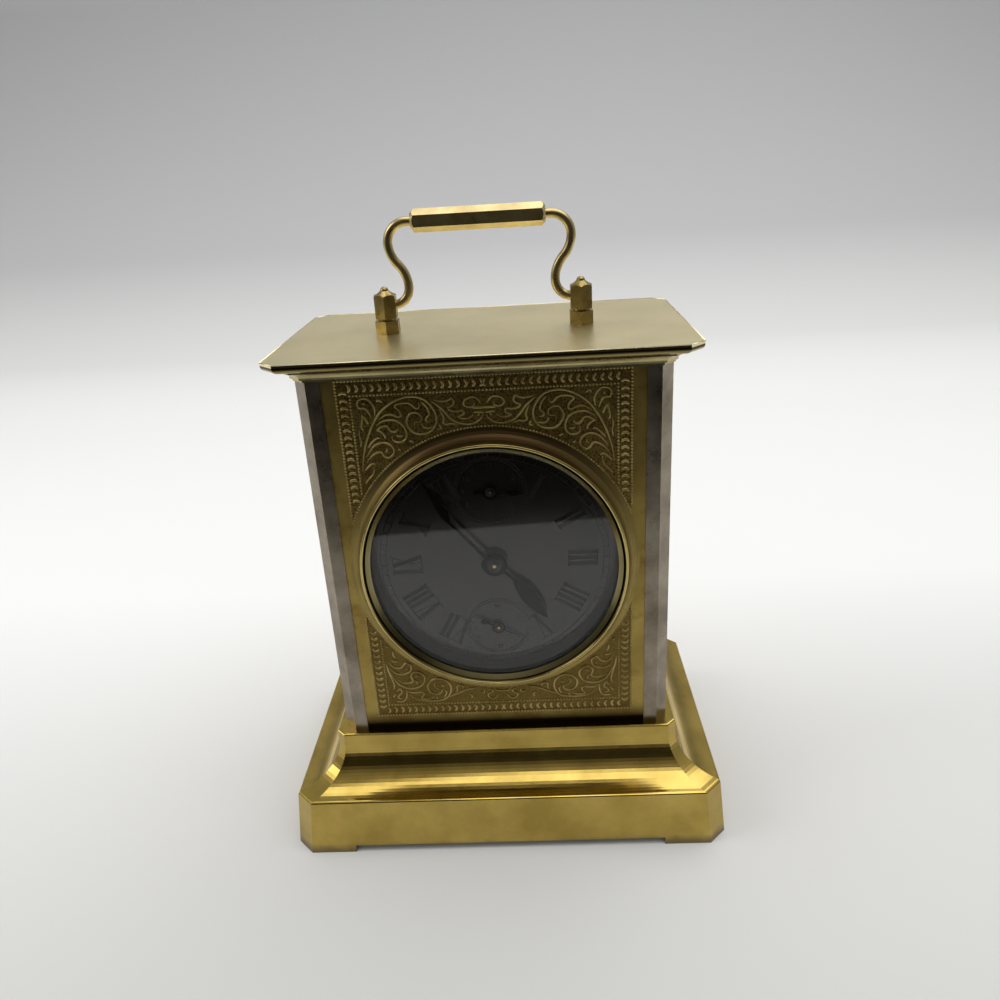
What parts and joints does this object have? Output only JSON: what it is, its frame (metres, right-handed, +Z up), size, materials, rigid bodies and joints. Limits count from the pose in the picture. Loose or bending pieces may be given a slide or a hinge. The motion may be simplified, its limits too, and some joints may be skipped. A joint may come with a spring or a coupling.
{
  "type": "musical carriage clock",
  "caption": "Small table clock with alarm and music box: upright brass case with steel corner pillars, round bezel, flared base, top plate and folding handle.",
  "frame": {"origin": "middle of the base on the surface that the feet stand on", "axes": "+Z up, +X to the right as the dial is read, +Y from the dial to the rear sheet"},
  "size_m": [0.129, 0.088, 0.1791],
  "materials": {
    "gilt_brass": "worn gilt brass, polished, tarnished olive in the hollows",
    "antique_brass": "embossed sheet brass, dark in the ground and rubbed bright on the relief",
    "plain_brass": "turned and stamped brass, brushed",
    "pillar_steel": "spotted brushed steel",
    "steel": "bright steel",
    "dark_iron": "dark iron sheet, scuffed at its edge",
    "hand_steel": "blackened steel",
    "dial_paint": "dark grey satin paint with darker printed numerals",
    "clear_glass": "clear flat glass"
  },
  "bodies": {
    "case": {"base_moulding": "gilt_brass", "bottom_plate": "dark_iron", "pillar_front_left": "pillar_steel", "pillar_front_right": "pillar_steel", "pillar_rear_left": "pillar_steel", "pillar_rear_right": "pillar_steel", "front_panel": "antique_brass", "side_panel_left": "antique_brass", "side_panel_right": "antique_brass", "rear_panel": "plain_brass", "cornice": "gilt_brass", "top_plate": "gilt_brass", "machine_screws": "steel", "bezel": "gilt_brass", "crystal": "clear_glass", "crystal_ring": "steel", "handle_post_left": "gilt_brass", "handle_post_right": "gilt_brass", "handle_nuts": "steel", "dial": "dial_paint", "front_plate": "plain_brass", "back_plate": "plain_brass", "plate_pillars": "plain_brass", "hairspring": "steel", "music_bedplate": "gilt_brass", "music_comb": "steel", "music_bridge": "plain_brass", "governor_bracket": "plain_brass"},
    "handle": {"handle_arm_left": "gilt_brass", "handle_arm_right": "gilt_brass", "handle_grip": "gilt_brass"},
    "winding": {"barrel_arbor": "steel", "ratchet_wheel": "steel", "winding_key": "plain_brass"},
    "click": {"click": "steel"},
    "centre": {"centre_wheel": "plain_brass", "cannon_pinion": "steel", "minute_hand": "hand_steel", "set_knob": "plain_brass"},
    "barrel": {"mainspring_barrel": "plain_brass"},
    "third": {"third_wheel": "plain_brass"},
    "fourth": {"fourth_wheel": "plain_brass", "seconds_hand": "hand_steel"},
    "escape": {"escape_wheel": "plain_brass"},
    "lever": {"pallet_lever": "plain_brass"},
    "balance": {"balance_wheel": "plain_brass"},
    "minute_work": {"minute_wheel": "plain_brass"},
    "hour": {"hour_wheel": "plain_brass", "hour_hand": "hand_steel"},
    "alarm_work": {"alarm_wheel": "plain_brass"},
    "alarm_set": {"alarm_arbor": "steel", "alarm_hand": "hand_steel", "alarm_knob": "plain_brass"},
    "stop": {"stop_knob": "plain_brass"},
    "release": {"release_rod": "steel"},
    "music_winding": {"music_key": "steel"},
    "music_drum": {"music_barrel": "plain_brass"},
    "cylinder": {"music_cylinder": "plain_brass"},
    "governor": {"governor_wheel": "plain_brass"},
    "fly": {"governor_fly": "steel"}
  },
  "joints": [
    {"name": "handle_fold", "type": "hinge", "parent": "case", "child": "handle", "pos_m": [0, 0, 0.1542], "axis": [1, 0, 0], "range_deg": [-100, 100]},
    {"name": "winding_turn", "type": "hinge", "parent": "case", "child": "winding", "pos_m": [0.01704, 0, 0.09107], "axis": [0, 1, 0], "continuous": true},
    {"name": "click_lift", "type": "hinge", "parent": "case", "child": "click", "pos_m": [0.01905, 0, 0.10249], "axis": [0, 1, 0], "range_deg": [0, 12]},
    {"name": "centre_turn", "type": "hinge", "parent": "case", "child": "centre", "pos_m": [0, 0, 0.0865], "axis": [0, 1, 0], "continuous": true},
    {"name": "barrel_turn", "type": "hinge", "parent": "case", "child": "barrel", "pos_m": [0.01704, 0, 0.09107], "axis": [0, 1, 0], "continuous": true},
    {"name": "third_turn", "type": "hinge", "parent": "case", "child": "third", "pos_m": [0.00782, 0, 0.07538], "axis": [0, 1, 0], "continuous": true},
    {"name": "fourth_turn", "type": "hinge", "parent": "case", "child": "fourth", "pos_m": [0, 0, 0.0655], "axis": [0, 1, 0], "continuous": true},
    {"name": "escape_turn", "type": "hinge", "parent": "case", "child": "escape", "pos_m": [-0.00826, 0, 0.05972], "axis": [0, 1, 0], "continuous": true},
    {"name": "lever_rock", "type": "hinge", "parent": "case", "child": "lever", "pos_m": [-0.01423, 0, 0.06317], "axis": [0, 1, 0], "range_deg": [-6, 6]},
    {"name": "balance_swing", "type": "hinge", "parent": "case", "child": "balance", "pos_m": [-0.01873, 0, 0.07096], "axis": [0, 1, 0], "range_deg": [-150, 150], "stiffness_Nm_per_rad": 0.0000057, "deforming": ["hairspring"]},
    {"name": "minute_work_turn", "type": "hinge", "parent": "case", "child": "minute_work", "pos_m": [-0.01233, 0, 0.08201], "axis": [0, 1, 0], "continuous": true},
    {"name": "hour_turn", "type": "hinge", "parent": "case", "child": "hour", "pos_m": [0, 0, 0.0865], "axis": [0, 1, 0], "continuous": true},
    {"name": "alarm_work_turn", "type": "hinge", "parent": "case", "child": "alarm_work", "pos_m": [0, 0, 0.1075], "axis": [0, 1, 0], "continuous": true},
    {"name": "alarm_set_turn", "type": "hinge", "parent": "case", "child": "alarm_set", "pos_m": [0, 0, 0.1075], "axis": [0, 1, 0], "continuous": true},
    {"name": "stop_pull", "type": "slide", "parent": "case", "child": "stop", "axis": [0, 1, 0], "range_m": [0, 0.0035]},
    {"name": "release_lift", "type": "slide", "parent": "case", "child": "release", "axis": [0, 0, 1], "range_m": [0, 0.0025]},
    {"name": "music_winding_turn", "type": "hinge", "parent": "case", "child": "music_winding", "pos_m": [-0.013, 0, 0.005], "axis": [0, 0, 1], "continuous": true},
    {"name": "music_drum_turn", "type": "hinge", "parent": "case", "child": "music_drum", "pos_m": [-0.013, 0, 0.018], "axis": [0, 0, 1], "continuous": true},
    {"name": "cylinder_turn", "type": "hinge", "parent": "case", "child": "cylinder", "pos_m": [0.01, 0, 0.0201], "axis": [1, 0, 0], "continuous": true},
    {"name": "governor_turn", "type": "hinge", "parent": "case", "child": "governor", "pos_m": [0.024, 0.0063, 0.0201], "axis": [1, 0, 0], "continuous": true},
    {"name": "fly_turn", "type": "hinge", "parent": "case", "child": "fly", "pos_m": [0.0259, 0.0109, 0.02], "axis": [0, 0, 1], "continuous": true}
  ],
  "couplings": [
    {"joint": "barrel_turn", "follows": "centre_turn", "ratio": -0.16667},
    {"joint": "third_turn", "follows": "centre_turn", "ratio": -7.5},
    {"joint": "fourth_turn", "follows": "centre_turn", "ratio": 60},
    {"joint": "escape_turn", "follows": "centre_turn", "ratio": -480},
    {"joint": "minute_work_turn", "follows": "centre_turn", "ratio": -0.33333},
    {"joint": "hour_turn", "follows": "centre_turn", "ratio": 0.083333},
    {"joint": "alarm_work_turn", "follows": "centre_turn", "ratio": -0.083333},
    {"joint": "cylinder_turn", "follows": "music_drum_turn", "ratio": -2.5556},
    {"joint": "governor_turn", "follows": "music_drum_turn", "ratio": 10.222},
    {"joint": "fly_turn", "follows": "music_drum_turn", "ratio": 204.44}
  ]
}
